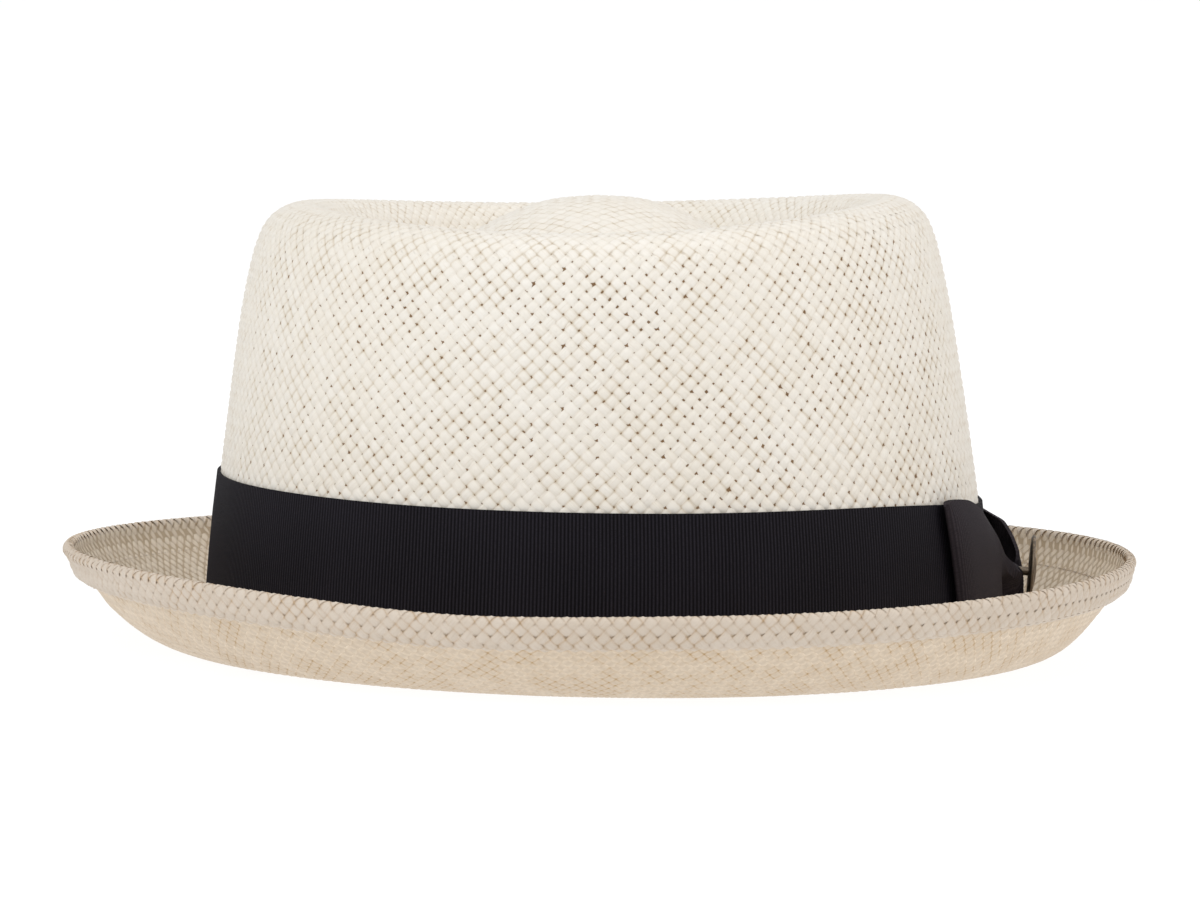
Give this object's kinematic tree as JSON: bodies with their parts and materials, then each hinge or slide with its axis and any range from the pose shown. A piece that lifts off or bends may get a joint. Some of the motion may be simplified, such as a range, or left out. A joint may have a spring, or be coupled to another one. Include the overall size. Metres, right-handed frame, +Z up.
{
  "type": "porkpie hat",
  "caption": "Woven straw porkpie hat with a domed, guttered crown, a short upturned brim, a dark ribbed ribbon, a flat side bow and a plain round pin.",
  "frame": {"origin": "centre of the hat's outline on the surface it stands on, at the flat ring under the start of the brim", "axes": "+Z up out of the crown, -Y toward the hat's front, +X toward the wearer's left, where the bow is"},
  "size_m": [0.2468, 0.2718, 0.1053],
  "materials": {
    "straw": "bleached plain-woven straw, matte with a soft sheen",
    "ribbon": "near-black ribbed ribbon, matte",
    "pin_metal": "dark antiqued metal with lighter worn edges"
  },
  "bodies": {
    "root": {"woven_body": "straw", "ribbon_band": "ribbon", "bow_front_loop": "ribbon", "bow_rear_loop": "ribbon", "bow_knot": "ribbon", "pin_disc": "pin_metal"}
  },
  "joints": []
}
